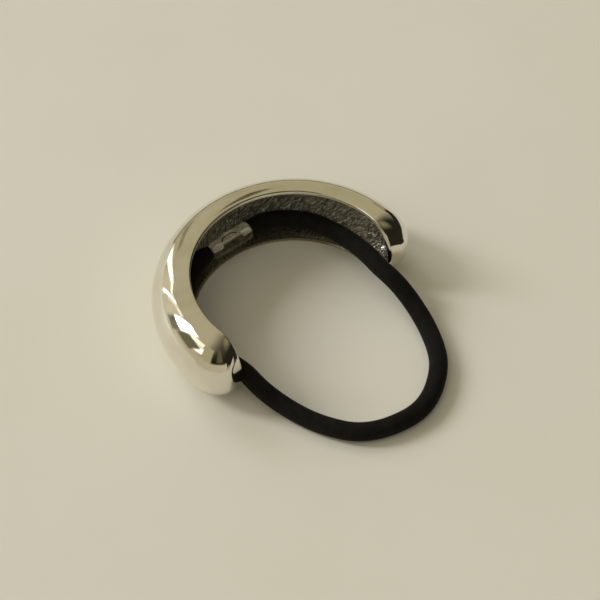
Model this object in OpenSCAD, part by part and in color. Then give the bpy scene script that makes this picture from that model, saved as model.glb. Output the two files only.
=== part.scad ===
// Ponytail cuff: a hollow half-ring of cast metal with an elastic loop, lying on its side.
// +Z is up and the ring's axis, +Y points to the middle of the half-ring, millimetres.

/* [Cuff] */
// Radius from the ring's middle to the mouth of the channel
mouth_r = 21.7; // [18:0.1:32]
// Outer radius of the half-round section, half the cuff's height
section_r = 8.5; // [7:0.1:11]
// Thickness of the cast wall
wall = 1.2; // [0.8:0.1:2]
// Angle that the channel goes round before its rounded tips, in degrees
wrap = 182; // [150:1:200]
// How far the ground front of a tip stands back from a full round
tip_cut = 1.8; // [0.4:0.1:2.6]
// How far the ground front turns towards the middle of the ring, in degrees
tip_turn = 15; // [0:1:25]
// Radius of the ground front, measured in radii of the section
tip_bow = 1.35; // [1.3:0.05:2]

/* [Elastic] */
// Diameter of the braided elastic
elastic_d = 4; // [2:0.1:4.2]

/* [Crimp] */
// Thickness of the crimp round the elastic
crimp_wall = 0.35; // [0.2:0.05:0.8]
// Outer diameter of the crimp at its squeezed waist
waist_d = 4.1; // [3:0.1:4.6]
// Length of the squeezed waist
waist_l = 3.4; // [2:0.1:4]
// Length of each shoulder between the waist and a flare
shoulder_l = 1.2; // [0.4:0.1:1.8]
// How deep each end of the elastic sits in the crimp
socket_l = 1.7; // [1.2:0.1:4]
// Clearance round the elastic in the crimp
socket_gap = 0.1; // [0.05:0.01:0.2]
// Radius of the punched dimple in the waist
dimple_r = 1.8; // [1:0.1:2.4]
// Depth of the punched dimple
dimple_depth = 0.5; // [0.2:0.05:0.9]

/* [Hidden] */
$fn = 96;

// The ground front of a tip: its radius and its distance from the middle of the tip's round.
// The edge between it and the round is a tip's furthest point, edge_turn away from straight ahead.
bow_r = tip_bow * section_r;
front_off = (section_r - tip_cut) * cos(tip_turn);
edge_turn = max(0, acos(front_off / section_r) - tip_turn - (wrap / 2 - 90));

// The frame's origin is the middle of the cuff's footprint
back_y = mouth_r + section_r;
front_y = mouth_r * cos(wrap / 2) - section_r * cos(edge_turn);
ring_y = -(back_y + front_y) / 2;

// Route of the elastic's centre line, from one end in the crimp round to the other
elastic_route = [
    [4.8, 10.7, 6.2],
    [7.8, 10.4, 6.2],
    [10.4, 9.8, 6.2],
    [13.5, 8.0, 6.2],
    [16.2, 5.3, 6.2],
    [18.2, 2.2, 6.2],
    [19.5, -1.6, 6.2],
    [20.2, -5.8, 6.3],
    [20.3, -9.9, 6.5],
    [19.9, -13.8, 6.8],
    [19.3, -17.4, 7.1],
    [19.3, -20.2, 6.8],
    [19.6, -23.3, 5.4],
    [19.5, -27.0, 3.6],
    [18.4, -31.6, 2.4],
    [16.4, -36.2, 2.0],
    [13.3, -40.8, 2.0],
    [9.4, -44.0, 2.0],
    [5.5, -46.0, 2.0],
    [1.0, -46.9, 2.0],
    [-3.8, -46.2, 2.0],
    [-8.4, -44.4, 2.0],
    [-12.2, -41.4, 2.0],
    [-14.7, -37.6, 2.0],
    [-16.6, -33.2, 2.0],
    [-17.9, -28.7, 2.3],
    [-18.9, -24.1, 3.1],
    [-19.4, -20.0, 4.1],
    [-19.3, -16.6, 4.5],
    [-20.0, -12.6, 5.0],
    [-21.1, -8.0, 5.6],
    [-21.2, -3.2, 6.0],
    [-19.7, 1.2, 6.2],
    [-16.7, 5.2, 6.2],
    [-12.8, 8.4, 6.2],
    [-8.8, 10.5, 6.2],
    [-4.9, 11.6, 6.2],
    [-1.9, 11.3, 6.2]
];
elastic_sides = 10;
route_last = len(elastic_route) - 1;

// The crimp lies on the line between the elastic's two ends
crimp_mid = (elastic_route[0] + elastic_route[route_last]) / 2;
crimp_line = elastic_route[0] - elastic_route[route_last];
crimp_turn = atan2(crimp_line.y, crimp_line.x);
crimp_l = norm(crimp_line) + 2 * socket_l;
crimp_d = elastic_d + 2 * (socket_gap + crimp_wall);

function unit(v) = v / norm(v);

// Direction of the route at point i: from the point before it to the point after it
function route_dir(i) =
    unit(elastic_route[min(i + 1, route_last)] - elastic_route[max(i - 1, 0)]);

// Ring of points round the route at point i, square to its direction
function route_ring(i) =
    let (ahead = route_dir(i), side = unit(cross(ahead, [0, 0, 1])), up = cross(side, ahead))
    [for (k = [0 : elastic_sides - 1])
        let (a = 360 * k / elastic_sides)
        elastic_route[i] + elastic_d / 2 * (cos(a) * side + sin(a) * up)];

// Half-round channel section: the outer half of a tube, its mouth on the Y axis
module channel_section() {
    difference() {
        circle(section_r);
        circle(section_r - wall);
        translate([-2 * section_r, -2 * section_r]) square([2 * section_r, 4 * section_r]);
    }
}

// Ball with its front ground to a slight bow, both set in by the same depth. Forwards is -Y.
module ground_ball(depth) {
    intersection() {
        sphere(section_r - depth);
        rotate([0, 0, -tip_turn]) translate([0, bow_r - front_off, 0])
            rotate([0, 90, 0]) cylinder(h = 4 * section_r, r = bow_r - depth, center = true);
    }
}

// Right-hand tip: the quarter of the hollow ball outside the mouth and ahead of the channel
module cuff_tip() {
    rotate([0, 0, 90 - wrap / 2]) translate([mouth_r, 0, section_r])
        intersection() {
            difference() {
                ground_ball(0);
                ground_ball(wall);
            }
            translate([0, -2 * section_r, -2 * section_r])
                cube([2 * section_r, 2 * section_r, 4 * section_r]);
        }
}

module cuff_shell() {
    color("silver") translate([0, ring_y, 0]) {
        rotate([0, 0, 90 - wrap / 2])
            rotate_extrude(angle = wrap)
                translate([mouth_r, section_r]) channel_section();
        for (side = [0, 1]) mirror([side, 0, 0]) cuff_tip();
    }
}

module elastic_loop() {
    rings = [for (i = [0 : route_last]) each route_ring(i)];
    n = elastic_sides;
    walls = [for (i = [0 : route_last - 1], k = [0 : n - 1])
        [i * n + k, i * n + (k + 1) % n, (i + 1) * n + (k + 1) % n, (i + 1) * n + k]];
    start_cap = [for (k = [n - 1 : -1 : 0]) k];
    end_cap = [for (k = [0 : n - 1]) route_last * n + k];
    color("#1c1a1a") polyhedron(rings, concat(walls, [start_cap, end_cap]));
}

// Outline of the crimp from its axis outwards: two flares and a squeezed waist
module crimp_outline() {
    half = crimp_l / 2;
    neck = waist_l / 2;
    polygon([
        [0, -half],
        [crimp_d / 2, -half],
        [crimp_d / 2, -neck - shoulder_l],
        [waist_d / 2, -neck],
        [waist_d / 2, neck],
        [crimp_d / 2, neck + shoulder_l],
        [crimp_d / 2, half],
        [0, half]
    ]);
}

module elastic_crimp() {
    color("#b8b2a8")
        translate(crimp_mid) rotate([0, 90, crimp_turn]) difference() {
            rotate_extrude() crimp_outline();
            for (end = [0, 1]) mirror([0, 0, end])
                translate([0, 0, crimp_l / 2 - socket_l - socket_gap])
                    cylinder(h = socket_l + 1, r = elastic_d / 2 + socket_gap);
            translate([-waist_d / 2 - dimple_r + dimple_depth, 0, 0]) sphere(dimple_r);
        }
}

cuff_shell();
elastic_loop();
elastic_crimp();
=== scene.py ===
# Ponytail cuff: a polished half-ring channel and its black braided elastic, lying on a pale floor.
# Everything is in metres: +Z up, +Y towards the middle of the half-ring, the floor at z = 0.
import bpy
import numpy as np
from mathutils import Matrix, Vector


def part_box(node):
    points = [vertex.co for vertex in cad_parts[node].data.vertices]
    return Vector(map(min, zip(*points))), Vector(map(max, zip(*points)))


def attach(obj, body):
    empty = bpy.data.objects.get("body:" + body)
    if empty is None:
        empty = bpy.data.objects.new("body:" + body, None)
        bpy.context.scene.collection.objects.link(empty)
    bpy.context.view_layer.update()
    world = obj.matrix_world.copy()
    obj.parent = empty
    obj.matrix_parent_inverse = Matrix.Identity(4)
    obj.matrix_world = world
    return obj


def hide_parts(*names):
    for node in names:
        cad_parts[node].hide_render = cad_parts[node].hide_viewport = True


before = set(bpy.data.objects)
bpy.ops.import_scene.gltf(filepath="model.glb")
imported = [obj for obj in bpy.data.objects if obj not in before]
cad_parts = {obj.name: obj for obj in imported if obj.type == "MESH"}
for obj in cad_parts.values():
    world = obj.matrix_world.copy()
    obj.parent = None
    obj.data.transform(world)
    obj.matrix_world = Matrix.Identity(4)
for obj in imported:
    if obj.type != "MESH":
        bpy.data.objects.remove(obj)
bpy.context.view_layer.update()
print("frame loaded:", ", ".join(sorted(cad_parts)))


def addObject(name, data):
    made = bpy.data.objects.new(name, data)
    bpy.context.scene.collection.objects.link(made)
    return made


def addAimed(name, data, place, way):
    # A camera or a lamp, which looks along the direction given
    made = addObject(name, data)
    made.location = place
    made.rotation_mode = "QUATERNION"
    made.rotation_quaternion = way.to_track_quat("-Z", "Y")
    return made


# Camera: high on the front left, with a long lens
camera = {
    "place": (-0.20872, -0.23058, 0.39352),
    "aim": (0.00464, -0.00783, 0.0),
    "lens": 139.2,
    "sensor": 36.0,
    "clip": (0.01, 50),
}


def makeCamera(c):
    data = bpy.data.cameras.new("camera")
    data.lens = c["lens"]
    data.sensor_width = c["sensor"]
    data.clip_start, data.clip_end = c["clip"]
    place = Vector(c["place"])
    bpy.context.scene.camera = addAimed("camera", data, place, Vector(c["aim"]) - place)


makeCamera(camera)
print("camera in place")


# Mesh helpers

def smoothStep(t):
    t = np.clip(t, 0, 1)
    return t * t * (3 - 2 * t)


def unitRows(v):
    return v / np.linalg.norm(v, axis=-1, keepdims=True)


def smoothPath(points, count):
    # A natural cubic spline through the points, its knots a chord apart, read at even steps of its
    # length. The second derivatives m solve
    # h0*m0 + 2*(h0 + h1)*m1 + h1*m2 = 6*(slope1 - slope0) at each inner point.
    finePerPoint = 40
    p = np.array(points, float)
    h = np.linalg.norm(np.diff(p, axis=0), axis=1)
    n = len(p)
    a = np.eye(n)
    inner = np.arange(1, n - 1)
    a[inner, inner - 1] = h[:-1]
    a[inner, inner] = 2 * (h[:-1] + h[1:])
    a[inner, inner + 1] = h[1:]
    slope = np.diff(p, axis=0) / h[:, None]
    right = np.zeros_like(p)
    right[1:-1] = 6 * np.diff(slope, axis=0)
    m = np.linalg.solve(a, right)
    knot = np.concatenate([[0], np.cumsum(h)])

    def curve(t):
        i = np.clip(np.searchsorted(knot, t, side="right") - 1, 0, n - 2)
        u = (t - knot[i])[:, None]
        w = h[i][:, None] - u
        s = h[i][:, None]
        return (m[i] * w ** 3 + m[i + 1] * u ** 3) / (6 * s) + (p[i] / s - m[i] * s / 6) * w \
            + (p[i + 1] / s - m[i + 1] * s / 6) * u

    fine = np.linspace(0, knot[-1], finePerPoint * n)
    line = curve(fine)
    far = np.concatenate([[0], np.cumsum(np.linalg.norm(np.diff(line, axis=0), axis=1))])
    return curve(np.interp(np.linspace(0, far[-1], count), far, fine)), far[-1]


def latticeNoise(points, seed):
    # Value noise from -1 to 1: seeded random numbers at whole points, blended by 3t^2 - 2t^3
    size = 64
    table = np.random.default_rng(seed).uniform(-1, 1, (size, size, size))
    low = np.floor(points).astype(int)
    t = smoothStep(points - low)
    total = 0
    for corner in np.ndindex(2, 2, 2):
        weight = 1
        for k in range(3):
            weight = weight * (t[..., k] if corner[k] else 1 - t[..., k])
        i, j, k = np.moveaxis((low + corner) % size, -1, 0)
        total = total + weight * table[i, j, k]
    return total


def ripple(points, r):
    # Height times the noise at (point / size + shift). The shift only picks a part of the noise.
    return r["height"] * latticeNoise(points / r["size"] + r["shift"], r["seed"])


def gridFaces(rows, cols, closedCols=True):
    # Quads between neighbours of a grid of rows * cols points. Row x column points outwards.
    r = np.arange(rows - 1)
    c = np.arange(cols if closedCols else cols - 1)
    r, c = [v.ravel() for v in np.meshgrid(r, c, indexing="ij")]
    row, after, beside = r * cols, (r + 1) * cols, (c + 1) % cols
    return np.stack([row + c, after + c, after + beside, row + beside], 1)


def meshFrom(name, points, faces, materials, uv=None, slots=None):
    # Points that coincide are welded, and faces that lose a corner so become triangles or go.
    # uv holds one pair a point, read before the weld, so that a seam keeps both its values.
    cellsPerMetre = 2e6
    points = np.asarray(points, float).reshape(-1, 3)
    faces = np.asarray(faces)
    cells = np.round(points * cellsPerMetre).astype(np.int64)
    _, first, same = np.unique(cells, axis=0, return_index=True, return_inverse=True)
    points = points[first]
    welded = same.reshape(-1)[faces]
    keep = welded != np.roll(welded, 1, axis=1)
    count = keep.sum(1)
    good = count >= 3
    keep, count = keep[good], count[good]
    corners = welded[good][keep]
    mesh = bpy.data.meshes.new(name)
    mesh.vertices.add(len(points))
    mesh.vertices.foreach_set("co", points.astype(np.float32).ravel())
    mesh.loops.add(len(corners))
    mesh.loops.foreach_set("vertex_index", corners.astype(np.int32))
    mesh.polygons.add(len(count))
    starts = np.concatenate([[0], np.cumsum(count)[:-1]])
    mesh.polygons.foreach_set("loop_start", starts.astype(np.int32))
    mesh.polygons.foreach_set("use_smooth", np.ones(len(count), bool))
    if slots is not None:
        mesh.polygons.foreach_set("material_index", np.asarray(slots)[good].astype(np.int32))
    if uv is not None:
        layer = mesh.uv_layers.new(name="surface")
        values = np.asarray(uv, float).reshape(-1, 2)[faces[good][keep]]
        layer.data.foreach_set("uv", values.astype(np.float32).ravel())
    mesh.update(calc_edges=True)
    mesh.validate()
    for one in materials:
        mesh.materials.append(one)
    return addObject(name, mesh)


# Elastic: a round braid, near black. Its ends sit in the two sockets of the crimp.
elastic = {
    "route": [
        (0.0048, 0.0107, 0.0062),
        (0.0078, 0.0104, 0.0062),
        (0.0104, 0.0098, 0.0062),
        (0.0135, 0.0080, 0.0062),
        (0.0162, 0.0053, 0.0062),
        (0.0182, 0.0022, 0.0062),
        (0.0195, -0.0016, 0.0062),
        (0.0202, -0.0058, 0.0063),
        (0.0203, -0.0099, 0.0065),
        (0.0199, -0.0138, 0.0068),
        (0.0193, -0.0174, 0.0071),
        (0.0193, -0.0202, 0.0068),
        (0.0196, -0.0233, 0.0054),
        (0.0195, -0.0270, 0.0036),
        (0.0184, -0.0316, 0.0024),
        (0.0164, -0.0362, 0.0020),
        (0.0133, -0.0408, 0.0020),
        (0.0094, -0.0440, 0.0020),
        (0.0055, -0.0460, 0.0020),
        (0.0010, -0.0469, 0.0020),
        (-0.0038, -0.0462, 0.0020),
        (-0.0084, -0.0444, 0.0020),
        (-0.0122, -0.0414, 0.0020),
        (-0.0147, -0.0376, 0.0020),
        (-0.0166, -0.0332, 0.0020),
        (-0.0179, -0.0287, 0.0023),
        (-0.0189, -0.0241, 0.0031),
        (-0.0194, -0.0200, 0.0041),
        (-0.0193, -0.0166, 0.0045),
        (-0.0200, -0.0126, 0.0050),
        (-0.0211, -0.0080, 0.0056),
        (-0.0212, -0.0032, 0.0060),
        (-0.0197, 0.0012, 0.0062),
        (-0.0167, 0.0052, 0.0062),
        (-0.0128, 0.0084, 0.0062),
        (-0.0088, 0.0105, 0.0062),
        (-0.0049, 0.0116, 0.0062),
        (-0.0019, 0.0113, 0.0062),
    ],
    "diameter": 0.004,
    "strands": 16,         # strands that wind each way round
    "relief": 0.00007,     # height of a strand over the gaps
    "back": 0.7,           # power of the sine that shapes a strand's back
    "squeezed": ((0.80, 0.0030), (0.57, 0.0045)),    # each end: share of thickness left, reach
    "rings": 1000,
    "quickRings": 333,
    "sides": 80,
}


def braidHeight(a, b, power):
    # Strands of one family lie along whole-and-a-half values of a, the other's of b. The product of
    # the two sines says which is on top in a cell, and the height is that family's own round back.
    sinA, sinB = np.sin(np.pi * a), np.sin(np.pi * b)
    over = 0.5 + 0.5 * sinA * sinB
    return over * np.abs(sinA) ** power + (1 - over) * np.abs(sinB) ** power


def makeElastic(e, material):
    rings = e["rings"]
    line, length = smoothPath(e["route"], rings)
    ahead = unitRows(np.gradient(line, axis=0))
    side = unitRows(np.cross(ahead, [0, 0, 1]))
    up = np.cross(side, ahead)
    turn = np.linspace(0, 2 * np.pi, e["sides"] + 1)
    along = np.linspace(0, length, rings)
    width = np.pi * e["diameter"] / e["strands"]
    a = e["strands"] * turn[None, :] / (2 * np.pi) + along[:, None] / width
    b = e["strands"] * turn[None, :] / (2 * np.pi) - along[:, None] / width
    # Radius: half the thickness left, less the relief times one minus the braid's height
    full = e["diameter"] / 2 * np.ones((rings, 1))
    for (left, reach), far in zip(e["squeezed"], (along, length - along)):
        full = full * (1 - (1 - left) * smoothStep(1 - far / reach)[:, None])
    radius = full + e["relief"] * (braidHeight(a, b, e["back"]) - 1)
    radius = radius[..., None]
    # Point: line + radius * (cos(turn) * side + sin(turn) * up)
    shape = line[:, None] + radius * (np.cos(turn)[None, :, None] * side[:, None]
                                      + np.sin(turn)[None, :, None] * up[:, None])
    shape[:, -1] = shape[:, 0]
    caps = [np.broadcast_to(line[end], (1, e["sides"] + 1, 3)) for end in (0, -1)]
    shape = np.concatenate([caps[0], shape, caps[1]])
    far = np.concatenate([[0], along, [length]])
    uv = np.stack(np.broadcast_arrays(far[:, None], (turn * e["diameter"] / 2)[None, :]), -1)
    faces = gridFaces(rings + 2, e["sides"] + 1, closedCols=False)
    made = meshFrom("elastic_braid", shape, faces, [material], uv)
    return made, line, length


# Shader helpers

def fill(tree, node, values):
    # A socket takes a constant, or a link from the socket given
    for key, value in values.items():
        if isinstance(value, bpy.types.NodeSocket):
            tree.links.new(value, node.inputs[key])
        else:
            node.inputs[key].default_value = value


def addNode(tree, kind, values=None, **settings):
    node = tree.nodes.new("ShaderNode" + kind)
    for key, value in settings.items():
        setattr(node, key, value)
    fill(tree, node, values or {})
    return node


def addMath(tree, operation, *values):
    return addNode(tree, "Math", dict(enumerate(values)), operation=operation).outputs[0]


def addRange(tree, value, source, target=(0, 1), smooth=False):
    # The value mapped from the source range to the target range, and held at their ends
    return addNode(tree, "MapRange", {
        "Value": value,
        "From Min": source[0],
        "From Max": source[1],
        "To Min": target[0],
        "To Max": target[1],
    }, interpolation_type="SMOOTHSTEP" if smooth else "LINEAR").outputs["Result"]


def addBump(tree, height, strength, distance):
    values = {"Height": height, "Strength": strength, "Distance": distance}
    return addNode(tree, "Bump", values).outputs[0]


def objectPlace(tree):
    return addNode(tree, "TexCoord").outputs["Object"]


def surfacePlace(tree):
    return addNode(tree, "UVMap", uv_map="surface").outputs[0]


def colourBetween(tree, mask, first, second):
    # The colour sockets of a Mix node come after its value and vector ones
    first, second = [(*c, 1) if isinstance(c, tuple) else c for c in (first, second)]
    return addNode(tree, "Mix", {0: mask, 6: first, 7: second}, data_type="RGBA").outputs[2]


def newGroup(name, inputs, outputs):
    tree = bpy.data.node_groups.new(name, "ShaderNodeTree")
    for way, sockets in (("INPUT", inputs), ("OUTPUT", outputs)):
        for label, kind in sockets.items():
            tree.interface.new_socket(label, in_out=way, socket_type="NodeSocket" + kind)
    return tree, tree.nodes.new("NodeGroupInput").outputs, tree.nodes.new("NodeGroupOutput")


def makeGrainGroup():
    # Layered noise on stretched coordinates: a value from 0 to 1 and a sharper mask of its peaks
    tree, given, out = newGroup("grain", {
        "Vector": "Vector",
        "Stretch": "Vector",
        "Scale": "Float",
        "Detail": "Float",
        "Low": "Float",
        "High": "Float",
    }, {"Value": "Float", "Mask": "Float"})
    stretched = addNode(tree, "VectorMath", {0: given["Vector"], 1: given["Stretch"]},
                        operation="MULTIPLY").outputs[0]
    noise = addNode(tree, "TexNoise", {"Vector": stretched, "Scale": given["Scale"],
                                       "Detail": given["Detail"]}).outputs["Fac"]
    mask = addRange(tree, noise, (given["Low"], given["High"]), smooth=True)
    fill(tree, out, {"Value": noise, "Mask": mask})
    return tree


grain = makeGrainGroup()


def addGrain(tree, place, scale, detail, stretch=(1, 1, 1), low=0.4, high=0.7):
    node = addNode(tree, "Group", node_tree=grain)
    fill(tree, node, {
        "Vector": place,
        "Stretch": stretch,
        "Scale": scale,
        "Detail": detail,
        "Low": low,
        "High": high,
    })
    return node.outputs["Value"], node.outputs["Mask"]


def newMaterial(name, values):
    made = bpy.data.materials.new(name)
    made.use_nodes = True
    tree = made.node_tree
    tree.nodes.clear()
    shader = addNode(tree, "BsdfPrincipled", values)
    addNode(tree, "OutputMaterial", {"Surface": shader.outputs[0]})
    return made, tree, shader


# Polished skin of the cuff: warm white metal, nearly a mirror, with faint smears and scratches
polish = {
    "colour": (0.85, 0.81, 0.74),
    "dull": (0.78, 0.74, 0.65),
    "smear": dict(scale=160, detail=4, low=0.42, high=0.72),
    "smeared": (0.3, 0.8),     # values of the smear at which the two roughnesses are reached
    "roughness": (0.02, 0.05),
    "wipe": dict(scale=1500, detail=2, stretch=(1, 1, 7)),
    "bump": (0.02, 0.0002),    # strength and distance
}


def makePolish(p):
    made, tree, shader = newMaterial("polished_metal", {"Metallic": 1.0})
    place = objectPlace(tree)
    smear, mask = addGrain(tree, place, **p["smear"])
    wipe, _ = addGrain(tree, place, **p["wipe"])
    fill(tree, shader, {
        "Base Color": colourBetween(tree, mask, p["colour"], p["dull"]),
        "Roughness": addRange(tree, smear, p["smeared"], p["roughness"]),
        "Normal": addBump(tree, wipe, *p["bump"]),
    })
    return made


# Inside of the channel: plated but unpolished casting, crumpled in short ridges that run across the
# channel and lean towards the right tip, with painted shade in their hollows. Low down, but not
# near
# the right tip, it is smooth and darker: painted shade of the lower wall.
cast = {
    "colour": (0.66, 0.63, 0.56),
    # painted shade in the hollows of the ridges
    "hollowShade": (0.27, 0.25, 0.205),
    "smoothShaded": (0.26, 0.235, 0.18),     # the smooth low part, darker: painted shade
    "smoothShadedDown": (0.0180, 0.0205),    # where it begins and is full, down from the upper lip
    "smoothShadedRound": (0.009, 0.013),     # and round the ring from +X
    "smoothShadedBump": 0.25,                # share of the bump left in it
    "ridge": dict(scale=2500, detail=1.5, stretch=(1, 0.3, 1), low=0.36, high=0.60),
    "ridged": (0.65, 0.35),          # values of the ridges at which the two roughnesses are reached
    "roughness": (0.14, 0.40),
    "fine": dict(scale=6000, detail=2, stretch=(1, 0.6, 1)),
    "fineShare": 0.12,               # height of the fine grain over that of the ridges
    "metal": 0.8,
    "lean": 38,                      # degrees
    "relief": 0.00023,
}


def makeCast(c):
    made, tree, shader = newMaterial("cast_metal", {"Metallic": c["metal"]})
    surface = surfacePlace(tree)
    leaning = addNode(tree, "VectorRotate", {"Vector": surface, "Angle": np.radians(c["lean"])},
                      rotation_type="Z_AXIS").outputs[0]
    ridge, mask = addGrain(tree, leaning, **c["ridge"])
    fine, _ = addGrain(tree, leaning, **c["fine"])
    u, v, _ = addNode(tree, "SeparateXYZ", {"Vector": surface}).outputs
    # The smooth low part is darker as well: painted shade of the lower wall
    smoothShaded = addMath(tree, "MULTIPLY", addRange(tree, v, c["smoothShadedDown"], smooth=True),
                   addRange(tree, u, c["smoothShadedRound"], smooth=True))
    # The ridges' low parts take the darker colour: painted shade in their hollows
    rugged = colourBetween(tree, mask, c["hollowShade"], c["colour"])
    height = addMath(tree, "MULTIPLY_ADD", fine, c["fineShare"], ridge)
    strength = addRange(tree, smoothShaded, (0, 1), (1, c["smoothShadedBump"]))
    fill(tree, shader, {
        "Base Color": colourBetween(tree, smoothShaded, rugged, c["smoothShaded"]),
        "Roughness": addRange(tree, ridge, c["ridged"], c["roughness"]),
        "Normal": addBump(tree, height, strength, c["relief"]),
    })
    return made


# Elastic: matt black yarn, a little worn in patches
yarn = {
    "colour": (0.0085, 0.0076, 0.0066),
    "worn": (0.020, 0.018, 0.016),
    "fibre": dict(scale=9000, detail=2, low=0.4, high=0.65),
    "patch": dict(scale=420, detail=3, low=0.35, high=0.75),
    "bump": (0.5, 0.00005),    # strength and distance
    "roughness": 0.85,
    "shine": 0.08,
    "sheen": (0.03, 0.5),      # weight and roughness
}


def makeYarn(y):
    made, tree, shader = newMaterial("black_braid", {
        "Roughness": y["roughness"],
        "Specular IOR Level": y["shine"],
        "Sheen Weight": y["sheen"][0],
        "Sheen Roughness": y["sheen"][1],
    })
    surface = surfacePlace(tree)
    fibre, fibreMask = addGrain(tree, surface, **y["fibre"])
    _, patchMask = addGrain(tree, surface, **y["patch"])
    worn = addMath(tree, "MULTIPLY", fibreMask, patchMask)
    fill(tree, shader, {
        "Base Color": colourBetween(tree, worn, y["colour"], y["worn"]),
        "Normal": addBump(tree, fibre, *y["bump"]),
    })
    return made


# Crimp: satin nickel sheet, scuffed by the pliers, with painted shade in the crease round its
# pressed arch.
# Its surface coordinates are the place over the size of the arch, along it and up from its seam.
nickel = {
    "colour": (0.96, 0.93, 0.84),
    "scuff": (0.76, 0.72, 0.62),
    # painted shade in the crease round the arch
    "creaseShade": (0.045, 0.040, 0.028),
    "creaseIn": (0.80, 0.86),     # where the crease begins and is full, from the arch's middle
    "creaseOut": (0.98, 0.93),    # the same from outside in
    "creaseUp": (0.25, 0.5),      # the same up from the seam
    "grain": dict(scale=1400, detail=3, stretch=(0.4, 1, 1), low=0.42, high=0.7),
    "scuffed": (0.3, 0.7),        # values of the grain at which the two roughnesses are reached
    "roughness": (0.16, 0.30),
    "bump": (0.3, 0.00008),       # strength and distance
    "metal": 0.75,
}
# Its lapped part, which lies in below the seam, is dull and darkened with painted shade
lapped = dict(nickel, colour=(0.17, 0.155, 0.12), scuff=(0.09, 0.08, 0.06), roughness=(0.4, 0.6))


def makeNickel(n, name):
    made, tree, shader = newMaterial(name, {"Metallic": n["metal"]})
    scuff, mask = addGrain(tree, objectPlace(tree), **n["grain"])
    surface = surfacePlace(tree)
    reach = addNode(tree, "VectorMath", {0: surface}, operation="LENGTH").outputs["Value"]
    rise = addNode(tree, "SeparateXYZ", {"Vector": surface}).outputs["Y"]
    within, outside, above = [
        addRange(tree, value, ends, smooth=True)
        for value, ends in ((reach, n["creaseIn"]), (reach, n["creaseOut"]), (rise, n["creaseUp"]))]
    # The crease round the arch is darkened: painted shade
    shadedCrease = addMath(tree, "MULTIPLY", addMath(tree, "MULTIPLY", within, outside), above)
    plain = colourBetween(tree, mask, n["colour"], n["scuff"])
    fill(tree, shader, {
        "Base Color": colourBetween(tree, shadedCrease, plain, n["creaseShade"]),
        "Roughness": addRange(tree, scuff, n["scuffed"], n["roughness"]),
        "Normal": addBump(tree, scuff, *n["bump"]),
    })
    return made


braid, centreLine, elasticLength = makeElastic(elastic, makeYarn(yarn))
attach(braid, "root")
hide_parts("elastic_loop")
print("elastic made, %.1f mm long" % (elasticLength * 1000))


# Cuff: the section of the channel carried round the rim of its mouth, over the tips and back
shell = {
    "wrap": 182,             # degrees that the channel goes round before its rounded tips
    "wall": 0.0012,
    "cut": 0.0018,           # how far the ground front of a tip stands back from a full round
    "turn": 15,              # degrees that the ground front turns towards the middle of the ring
    "bow": 1.35,             # radius of the ground front over the section's
    "ease": 0.0010,          # how far the edge of the ground front is rounded over
    "edge": 0.0004,          # rounding of the rim's two edges
    "outerRows": 52,
    "edgeRows": 5,
    "rimRows": 3,
    "innerRows": 54,
    "lipSteps": 300,
    "tipSteps": 96,
    "quick": dict(lipSteps=120, tipSteps=32),
    # Slight waves of the polished side, and how far from the rim they grow to their full height
    "wave": dict(height=0.00003, size=0.008, shift=9, seed=3),
    "waveGrow": 0.003,
    # Lumps of the casting, its ridges, how they wander, and how far from the rim all this grows
    "lump": dict(height=0.00010, size=0.0030, shift=20, seed=5),
    "streak": dict(height=0.00012, width=0.0009, long=3.0, shift=(40, 5), seed=7),
    "bend": dict(height=0.0015, size=0.0030, shift=(0, 0, 7), seed=6),
    "castGrow": 0.0012,
    "lowerLean": -0.05,      # sine of the rim's lean below which it is the lower lip
    "lowerRows": 6,          # rows nearer to the outside by which the cast surface begins there
}


def rimLoop(s):
    # The way round the mouth's rim: upper lip, left tip, lower lip, right tip and the first step
    # again. Each step gives the angle round the ring, the lean of the way towards the rim, the side
    # (1 up to the left tip, -1 on the way back), the outward direction and the way towards the rim,
    # which leans from straight up over forwards at a tip to straight down.
    start, stop = np.radians([90 - s["wrap"] / 2, 90 + s["wrap"] / 2])
    lip = np.linspace(0, 1, s["lipSteps"], endpoint=False)
    tip = np.linspace(0.5, -0.5, s["tipSteps"], endpoint=False) * np.pi
    still = np.ones(s["tipSteps"])
    turn = np.concatenate([start + (stop - start) * lip, stop * still,
                           stop - (stop - start) * lip, start * still, [start]])
    lean = np.concatenate([np.pi / 2 + 0 * lip, tip, -np.pi / 2 + 0 * lip, -tip, [np.pi / 2]])
    side = np.concatenate([1 + 0 * lip, still, -1 + 0 * lip, -still, [1]])
    out = np.stack([np.cos(turn), np.sin(turn), 0 * turn], 1)
    ahead = np.stack([-np.sin(turn), np.cos(turn), 0 * turn], 1) * side[:, None]
    rimWay = np.cos(lean)[:, None] * ahead
    rimWay[:, 2] = np.sin(lean)
    return turn, lean, side, out, rimWay


def channelProfile(s, outer):
    # One wall of the channel from its deepest line outside, over the rim, to its deepest line
    # inside: depth behind the mouth, distance towards the rim, and the outward normal in the same
    # two directions
    inner = outer - s["wall"]
    e = s["edge"]
    topOuter = np.sqrt(outer ** 2 - e ** 2)
    topInner = np.sqrt(inner ** 2 - e ** 2)
    back = np.linspace(np.pi / 2, np.arcsin(e / outer), s["outerRows"], endpoint=False)
    bend = np.linspace(0, np.pi / 2, s["edgeRows"])
    flat = np.linspace(topOuter - e, topInner + e, s["rimRows"] + 2)[1:-1]
    deep = np.linspace(np.arcsin(e / inner), np.pi / 2, s["innerRows"] + 1)[1:]
    depth = np.concatenate([outer * np.sin(back), e - e * np.sin(bend), 0 * flat,
                            e - e * np.cos(bend), inner * np.sin(deep)])
    height = np.concatenate([outer * np.cos(back), topOuter - e + e * np.cos(bend), flat,
                             topInner + e - e * np.sin(bend), inner * np.cos(deep)])
    depthNormal = np.concatenate([np.sin(back), -np.sin(bend), -1 + 0 * flat,
                                  -np.cos(bend), -np.sin(deep)])
    heightNormal = np.concatenate([np.cos(back), np.cos(bend), 0 * flat,
                                   -np.sin(bend), -np.cos(deep)])
    return depth, height, depthNormal, heightNormal


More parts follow.
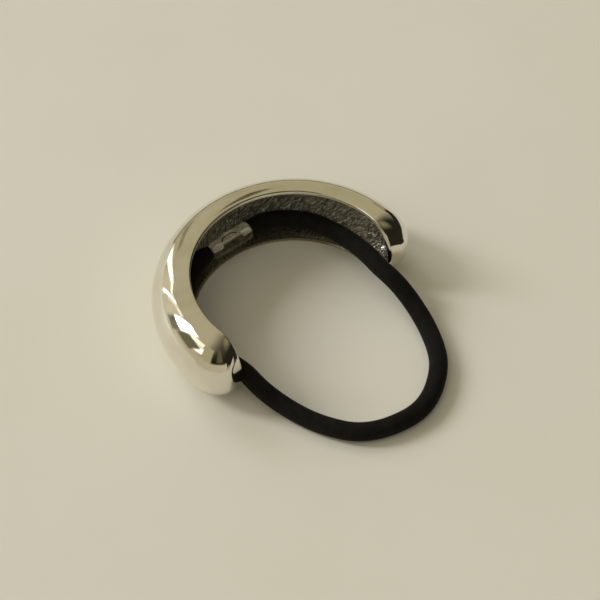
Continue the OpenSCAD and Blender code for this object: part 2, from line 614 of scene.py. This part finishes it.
def groundRadius(s, outer, inset, ahead, out, up):
    # Distance from the middle of a tip's round to its surface, along the unit way (ahead, out, up):
    # the lesser of the round's radius and of the way to the ground front, blended where they are
    # nearly equal. The front is a level cylinder whose axis stands "middle" ahead along the front's
    # normal, so the way t to it solves (t * normalPart - middle)^2 + (t * up)^2 = radius^2.
    turn = np.radians(s["turn"])
    radius = s["bow"] * outer - inset
    middle = (outer - s["cut"]) * np.cos(turn) - s["bow"] * outer
    normalPart = np.cos(turn) * ahead - np.sin(turn) * out
    a = np.maximum(normalPart ** 2 + up ** 2, 1e-6)    # ways along the cylinder never reach it
    b = normalPart * middle
    front = (b + np.sqrt(b ** 2 - a * (middle ** 2 - radius ** 2))) / a
    full = outer - inset
    share = np.clip(0.5 + 0.5 * (front - full) / s["ease"], 0, 1)
    return front + (full - front) * share - s["ease"] * share * (1 - share)


def makeShell(s, materials):
    low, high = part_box("cuff_shell")
    outer = (high.z - low.z) / 2
    mouth = (high.x - low.x) / 2 - outer
    middle = np.array([0, high.y - mouth - outer, outer])
    s = s
    turn, lean, side, out, rimWay = rimLoop(s)
    depth, height, depthNormal, heightNormal = channelProfile(s, outer)
    spine = middle + mouth * out

    # Point: spine + scale * (depth * out + height * rimWay). The scale is other than 1 only at the
    # tips, where a point moves along its way from the tip's middle to keep its share of the wall.
    reach = np.hypot(depth, height)[:, None]
    ways = height[:, None] * np.cos(lean) / reach, depth[:, None] / reach + 0 * lean, \
        height[:, None] * np.sin(lean) / reach
    outside = groundRadius(s, outer, 0, *ways)
    inside = groundRadius(s, outer, s["wall"], *ways)
    share = (reach - outer + s["wall"]) / s["wall"]
    scale = (inside + (outside - inside) * share) / reach
    shape = spine + scale[..., None] * (depth[:, None, None] * out + height[:, None, None] * rimWay)
    normal = depthNormal[:, None, None] * out + heightNormal[:, None, None] * rimWay

    # Surface coordinates: metres round the ring, metres down the section from the upper lip
    angle = np.arccos(np.clip(height[:, None] / reach * np.sin(lean), -1, 1))
    u = (mouth + outer / 2) * turn + side * height[:, None] * np.cos(lean)
    v = reach * angle

    # Lift along the normal: the polished side's waves, or the casting's lumps and its ridges, which
    # lean as the material's do and are absent from its smooth low part. Both grow from the rim.
    (begin, full), (start, whole) = cast["smoothShadedDown"], cast["smoothShadedRound"]
    smoothShaded = smoothStep((v - begin) / (full - begin)) * smoothStep((u - start) / (whole - start))
    bent = u - v * np.tan(np.radians(cast["lean"])) + ripple(shape, s["bend"])
    streak = s["streak"]
    width, (shiftU, shiftV) = streak["width"], streak["shift"]
    place = np.stack([bent / width + shiftU, v / width / streak["long"] + shiftV, 0 * u], -1)
    ridges = latticeNoise(place, streak["seed"])
    rough = ripple(shape, s["lump"]) + streak["height"] * (1 - smoothShaded) * ridges
    rough = rough * np.clip(depth / s["castGrow"], 0, 1)[:, None]
    wave = ripple(shape, s["wave"]) * np.clip(depth / s["waveGrow"], 0, 1)[:, None]
    firstInner = len(depth) - s["innerRows"]
    isInner = np.arange(len(depth))[:, None] >= firstInner
    shape = shape + np.where(isInner, rough, wave)[..., None] * normal
    shape[:, -1] = shape[:, 0]

    # The cast surface begins at the inner edge of the rim, but along the lower lip half way over it
    faces = gridFaces(*shape.shape[:2], closedCols=False)[:, ::-1]
    lower = np.sin(lean)[None, :-1] < s["lowerLean"]
    slots = np.arange(len(depth) - 1)[:, None] >= firstInner - 1 - s["lowerRows"] * lower
    return meshFrom("cuff_metal", shape, faces, materials, np.stack([u, v], -1), slots.ravel())


cuff = makeShell(shell, [makePolish(polish), makeCast(cast)])
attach(cuff, "root")
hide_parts("cuff_shell")
print("cuff made,", len(cuff.data.polygons), "faces")


# Crimp: a strip of sheet rolled round both ends of the elastic. Its ends draw in, and its middle is
# pressed in from the seam upwards, in the shape of an arch.
crimp = {
    "radius": 0.0021,
    "ends": ((0.0014, 0.0034), (0.0019, 0.0010)),    # left and right: radius, length of the taper
    "socket": 0.0018,        # how deep each end of the elastic sits in it
    "sheet": 0.00028,
    "edgeRound": 0.96,       # how much of its outer edge is rounded off, 1 being to a point
    "burr": (0.00020, 5),    # height and place in degrees of the raised line along the outer edge
    "seam": (52, 34),        # degrees above level of the outer edge: in the middle, at the ends
    "seamEarly": 0.0003,     # how far inside the arch's end the seam begins to change
    "ease": 0.0009,          # length over which the seam and the lap change
    "lap": 40,               # degrees by which the sheet goes under its own edge
    "lapFrom": (300, 60),    # degrees round the sheet where it begins to go in, and over how many
    "lapDeep": 0.00075,
    "lapEnds": 1.1,          # depth of the lap at the ends over the sheet's thickness
    "dull": 0.34,            # share of the steps, up to the inner edge, that have the lapped look: dull, with painted shade
    "press": (0.00065, 0.0024, 0.0029),    # depth, half length and half height of the pressed arch
    "pressEdge": 0.16,       # width of its border over its size
    "rings": 200,
    "steps": 150,
    "edgeSteps": 14,         # closer steps of a degree each, next to the outer edge
}


def makeCrimp(c, materials):
    ends = np.array([elastic["route"][0], elastic["route"][-1]])
    middle = ends.mean(0)
    axis = unitRows(ends[0] - ends[1])
    half = np.linalg.norm(ends[0] - ends[1]) / 2 + c["socket"]
    up = np.array([0, 0, 1.0])
    front = np.cross(axis, up)    # towards the middle of the ring
    along = np.linspace(-half, half, c["rings"])[:, None]
    depth, long, tall = c["press"]
    # From the outer edge at the seam over the top and round to below that edge again
    wide = np.linspace(c["edgeSteps"], 360 + c["lap"], c["steps"])
    sweep = np.radians(np.concatenate([np.arange(c["edgeSteps"]), wide]))[None, :]
    midSeam, endSeam = c["seam"]
    low = smoothStep((np.abs(along) - long + c["seamEarly"]) / c["ease"])
    seam = np.radians(midSeam + (endSeam - midSeam) * low)
    # The sheet's start follows the seam, and the rest of it stays where it is
    angle = seam * np.clip(1 - sweep / np.pi, 0, 1) \
        + np.radians(midSeam) * np.clip(sweep / np.pi, 0, 1) + sweep
    # Each end draws in by a quarter round of the taper's length
    radius = c["radius"] - c["sheet"] / 2 + 0 * along
    for (end, taper), far in zip(c["ends"], (half + along, half - along)):
        t = np.clip(1 - far / taper, 0, 1)
        radius = radius - (c["radius"] - end) * (1 - np.sqrt(1 - t * t))
    # The lapped part goes in under the outer edge, deepest in the middle
    shallow = smoothStep((np.abs(along) - long) / c["ease"])
    deep = c["lapDeep"] - (c["lapDeep"] - c["lapEnds"] * c["sheet"]) * shallow
    lapStart, lapOver = np.radians(c["lapFrom"])
    radius = radius - deep * smoothStep((sweep - lapStart) / lapOver)
    # The arch is an ellipse round the seam's middle, pressed in up to its border
    off = (angle - np.radians(midSeam)) * c["radius"]
    size = np.sqrt((along / long) ** 2 + (off / tall) ** 2)
    radius = radius - depth * smoothStep((1 + c["pressEdge"] / 2 - size) / c["pressEdge"])
    burrHeight, burrPlace = c["burr"]
    radius = radius + burrHeight * np.exp(-(np.degrees(sweep) / burrPlace - 1) ** 2)
    # The sheet is rounded off at its outer edge
    near = np.clip(1 - sweep * c["radius"] / (c["sheet"] / 2), 0, 1)
    thick = c["sheet"] / 2 * np.sqrt(1 - c["edgeRound"] * near ** 2)
    both = np.concatenate([radius + thick, (radius - thick)[:, ::-1]], 1)
    turned = np.concatenate([angle, angle[:, ::-1]], 1)[..., None]
    # Point: middle + along * axis + radius * (cos(angle) * front + sin(angle) * up)
    shape = middle + along[..., None] * axis \
        + both[..., None] * (np.cos(turned) * front + np.sin(turned) * up)
    offs = np.concatenate([off, off[:, ::-1]], 1)
    uv = np.stack(np.broadcast_arrays(along / long, offs / tall), -1)
    cols = both.shape[1]
    slots = np.abs(np.arange(cols) - cols / 2) < c["dull"] * cols / 2
    # Each end is closed between the outer and the inner line of the sheet
    k = np.arange(cols // 2 - 1)
    lid = np.stack([k, k + 1, cols - 2 - k, cols - 1 - k], 1)
    last = (c["rings"] - 1) * cols
    faces = np.concatenate([gridFaces(c["rings"], cols), lid[:, ::-1], lid + last])
    slots = np.concatenate([np.tile(slots, c["rings"] - 1), np.zeros(2 * len(lid))])
    return meshFrom("crimp_sheet", shape, faces[:, ::-1], materials, uv, slots)


band = makeCrimp(crimp, [makeNickel(nickel, "crimp_nickel"), makeNickel(lapped, "crimp_lapped_shade")])
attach(band, "root")
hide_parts("elastic_crimp")
print("crimp made")


# Floor: a wide pale sheet
floor = {
    "half": 3.0,
    "colour": (0.80, 0.78, 0.69),
    "shade": (0.785, 0.765, 0.67),
    "cloud": dict(scale=14, detail=4, low=0.35, high=0.65),
    "fine": dict(scale=2600, detail=2),
    "bump": (0.15, 0.0001),    # strength and distance
    "roughness": 0.55,
    "shine": 0.2,
}


def makeFloor(f):
    made, tree, shader = newMaterial("pale_floor", {
        "Roughness": f["roughness"],
        "Specular IOR Level": f["shine"],
    })
    place = objectPlace(tree)
    _, cloud = addGrain(tree, place, **f["cloud"])
    fine, _ = addGrain(tree, place, **f["fine"])
    fill(tree, shader, {
        "Base Color": colourBetween(tree, cloud, f["colour"], f["shade"]),
        "Normal": addBump(tree, fine, *f["bump"]),
    })
    h = f["half"]
    corners = [(-h, -h, 0), (h, -h, 0), (h, h, 0), (-h, h, 0)]
    sheet = meshFrom("floor", corners, [[0, 1, 2, 3]], [made])


makeFloor(floor)
print("floor made")


# Room: what lights the cuff and what its polish mirrors, as glows and patches on the sky. "at" is
# the direction of the middle: degrees from +Y towards +X, degrees above level. A glow is round,
# full up to one angle from its middle and gone at another. A patch is an oblong with its half
# sizes, how far it is turned (its top to the left) and how soft its edges are. Later ones lie over
# earlier ones.
room = {
    "base": (0.018, 0.016, 0.010),
    "glows": [
        # ceiling
        dict(at=(0, 90), full=25, none=62, colour=(0.065, 0.057, 0.034)),
        # ceiling lit by the window
        dict(at=(-20, 38), full=24, none=72, colour=(0.46, 0.41, 0.27)),
        # ceiling on the right
        dict(at=(125, 56), full=3, none=32, colour=(0.24, 0.21, 0.12)),
    ],
    "patches": [
        # wall on the left
        dict(at=(-88, 38), half=(17, 16), turn=0, soft=8, colour=(0.42, 0.39, 0.24)),
        # far wall, and its shaded end
        dict(at=(5, 30), half=(54, 18), turn=0, soft=36, colour=(0.455, 0.41, 0.27)),
        dict(at=(48, 16), half=(6, 20), turn=0, soft=24, colour=(0.41, 0.365, 0.225)),
        # left side, low
        dict(at=(-110, 2), half=(62, 16), turn=0, soft=5, colour=(0.50, 0.46, 0.32)),
        # behind the camera
        dict(at=(-137, 45), half=(5, 15), turn=0, soft=8, colour=(0.11, 0.10, 0.055)),
        # pale sweep under the window
        dict(at=(-40, -2), half=(32, 10), turn=16, soft=3, colour=(0.62, 0.575, 0.42)),
        # right side, low
        dict(at=(178, -2), half=(13, 6), turn=0, soft=3, colour=(0.40, 0.36, 0.25)),
        # window, its far part and its upper part
        dict(at=(-34.5, 35), half=(4.2, 9.4), turn=0, soft=3.5, colour=(16.0, 16.0, 16.0)),
        dict(at=(-62, 31), half=(8, 5), turn=-25, soft=4, colour=(1.8, 1.75, 1.5)),
        dict(at=(-50, 41), half=(9, 3.5), turn=-22, soft=3, colour=(1.3, 1.25, 1.0)),
        # dark forms before it, and the dark side of the second
        dict(at=(-50, 24), half=(6.3, 9.5), turn=7, soft=2.5, colour=(0.16, 0.145, 0.09)),
        dict(at=(-34.5, 13.5), half=(4.3, 6.5), turn=7, soft=2.5, colour=(0.22, 0.20, 0.15)),
        dict(at=(-32, 17), half=(1, 3), turn=0, soft=1.5, colour=(0.15, 0.15, 0.125)),
        # pale upright on its right, and a lit fold in it, high and low
        dict(at=(-25, 20), half=(2.5, 11), turn=0, soft=4, colour=(0.66, 0.60, 0.43)),
        dict(at=(-20, 33), half=(1, 6), turn=40, soft=3, colour=(1.2, 1.1, 0.95)),
        dict(at=(-18.5, 25), half=(1, 8), turn=5, soft=2.5, colour=(0.95, 0.85, 0.72)),
        # wall between the lights
        dict(at=(-10.5, 14), half=(3, 12), turn=10, soft=4, colour=(0.64, 0.56, 0.40)),
        # slim light, broad light and its bent top
        dict(at=(-16, 18), half=(0.5, 15), turn=6, soft=0.8, colour=(3.0, 2.9, 2.8)),
        dict(at=(-0.5, 12), half=(1.3, 16), turn=20, soft=3, colour=(2.4, 2.3, 2.0)),
        dict(at=(-9, 27), half=(4, 0.8), turn=12, soft=2.5, colour=(1.6, 1.5, 1.3)),
        # shade beside it, and a dark upright
        dict(at=(14, 8), half=(0.3, 13), turn=20, soft=4, colour=(0.25, 0.225, 0.13)),
        dict(at=(36.5, 34), half=(1.2, 6), turn=8, soft=3, colour=(0.11, 0.10, 0.055)),
    ],
}


def skyWay(at):
    # Unit direction to a place on the sky: degrees from +Y towards +X, degrees above level
    azimuth, rise = np.radians(at)
    return np.array([np.sin(azimuth) * np.cos(rise), np.cos(azimuth) * np.cos(rise), np.sin(rise)])


def makePatchGroup():
    # Mask of a patch: offsets from its middle in degrees, turned, against its half sizes
    labels = ("Azimuth", "Elevation", "Middle Azimuth", "Middle Elevation",
              "Half Width", "Half Height", "Turn", "Soft")
    tree, given, out = newGroup("skyPatch", dict.fromkeys(labels, "Float"), {"Mask": "Float"})

    def do(operation, *values):
        return addMath(tree, operation, *values)

    across = do("WRAP", do("SUBTRACT", given["Azimuth"], given["Middle Azimuth"]), 180, -180)
    rise = do("SUBTRACT", given["Elevation"], given["Middle Elevation"])
    turn = do("RADIANS", given["Turn"])
    cos, sin = do("COSINE", turn), do("SINE", turn)
    x = do("ADD", do("MULTIPLY", across, cos), do("MULTIPLY", rise, sin))
    y = do("SUBTRACT", do("MULTIPLY", rise, cos), do("MULTIPLY", across, sin))
    masks = []
    for offset, half in ((x, given["Half Width"]), (y, given["Half Height"])):
        past = do("SUBTRACT", do("ABSOLUTE", offset), half)
        masks.append(addRange(tree, past, (0, given["Soft"]), (1, 0), smooth=True))
    fill(tree, out, {"Mask": do("MULTIPLY", *masks)})
    return tree


def addPatch(tree, group, azimuth, elevation, patch):
    node = addNode(tree, "Group", node_tree=group)
    fill(tree, node, {
        "Azimuth": azimuth,
        "Elevation": elevation,
        "Middle Azimuth": patch["at"][0],
        "Middle Elevation": patch["at"][1],
        "Half Width": patch["half"][0],
        "Half Height": patch["half"][1],
        "Turn": patch["turn"],
        "Soft": patch["soft"],
    })
    return node.outputs["Mask"]


def addGlow(tree, way, glow):
    # Mask of a glow: from full to none with the angle between the two directions
    near = addNode(tree, "VectorMath", {0: way, 1: tuple(skyWay(glow["at"]))},
                   operation="DOT_PRODUCT").outputs["Value"]
    angle = addMath(tree, "DEGREES", addMath(tree, "ARCCOSINE", near))
    return addRange(tree, angle, (glow["full"], glow["none"]), (1, 0), smooth=True)


def makeRoom(r):
    world = bpy.data.worlds.new("room")
    bpy.context.scene.world = world
    world.use_nodes = True
    tree = world.node_tree
    tree.nodes.clear()
    group = makePatchGroup()
    way = addNode(tree, "TexCoord").outputs["Generated"]
    x, y, z = addNode(tree, "SeparateXYZ", {"Vector": way}).outputs
    azimuth = addMath(tree, "DEGREES", addMath(tree, "ARCTAN2", x, y))
    elevation = addMath(tree, "DEGREES", addMath(tree, "ARCSINE", z))
    colour = r["base"]
    for glow in r["glows"]:
        colour = colourBetween(tree, addGlow(tree, way, glow), colour, glow["colour"])
    for patch in r["patches"]:
        mask = addPatch(tree, group, azimuth, elevation, patch)
        colour = colourBetween(tree, mask, colour, patch["colour"])
    back = addNode(tree, "Background", {"Color": colour, "Strength": 1.0})
    addNode(tree, "OutputWorld", {"Surface": back.outputs[0]})


# Lights: daylight through the window and two soft fills. The metal mirrors the sky patches in their
# place. Directions are as for the patches, sizes and distances in metres.
lights = [
    dict(name="window", at=(-35, 35), far=1.3, size=(0.28, 0.58), power=1.75,
         colour=(1.0, 0.99, 1.08)),
    dict(name="far_fill", at=(0, 38), far=1.3, size=(0.55, 0.5), power=2.9,
         colour=(0.95, 1.0, 1.1)),
    dict(name="near_fill", at=(-140, 62), far=2.0, size=(2.0, 2.0), power=7.5,
         colour=(1.0, 0.95, 0.86)),
]


def makeLight(one):
    data = bpy.data.lights.new(one["name"], "AREA")
    data.shape = "RECTANGLE"
    data.size, data.size_y = one["size"]
    data.energy = one["power"]
    data.color = one["colour"]
    place = one["far"] * Vector(skyWay(one["at"]))
    made = addAimed(one["name"], data, place, -place)
    made.visible_glossy = False


# What the polish mirrors beyond the edges of the pale surface, far and on the right. Each is a
# strip that stands across the direction "at" and glows from the height "low" to "high". They are
# seen only in the polish: painted reflections, not lamps. The far one is darker at its foot.
edges = [
    dict(name="far_foot", at=42, far=0.080, half=0.070, low=0, high=0.006,
         colour=(0.13, 0.125, 0.075)),
    dict(name="far_edge", at=42, far=0.080, half=0.070, low=0.006, high=0.016,
         colour=(0.43, 0.39, 0.26)),
    dict(name="near_edge", at=147, far=0.060, half=0.022, low=0, high=0.020,
         colour=(0.02, 0.018, 0.012)),
    dict(name="right_edge", at=112, far=0.082, half=0.070, low=0, high=0.020,
         colour=(0.02, 0.018, 0.012)),
]


def makeEdge(e):
    made, _, _ = newMaterial(e["name"], {
        "Base Color": (0, 0, 0, 1),
        "Specular IOR Level": 0.0,
        "Emission Color": (*e["colour"], 1),
        "Emission Strength": 1.0,
    })
    x, y, _ = skyWay((e["at"], 0))
    middle = e["far"] * np.array([x, y, 0])
    across = e["half"] * np.array([y, -x, 0])
    low, high = np.array([0, 0, e["low"]]), np.array([0, 0, e["high"]])
    corners = [middle - across + low, middle + across + low, middle + across + high,
               middle - across + high]
    card = meshFrom(e["name"], corners, [[0, 1, 2, 3]], [made])
    card.visible_camera = card.visible_diffuse = card.visible_shadow = False


for one in edges:
    makeEdge(one)
makeRoom(room)
for one in lights:
    makeLight(one)
bpy.context.scene.view_settings.view_transform = "Standard"
print("room made")
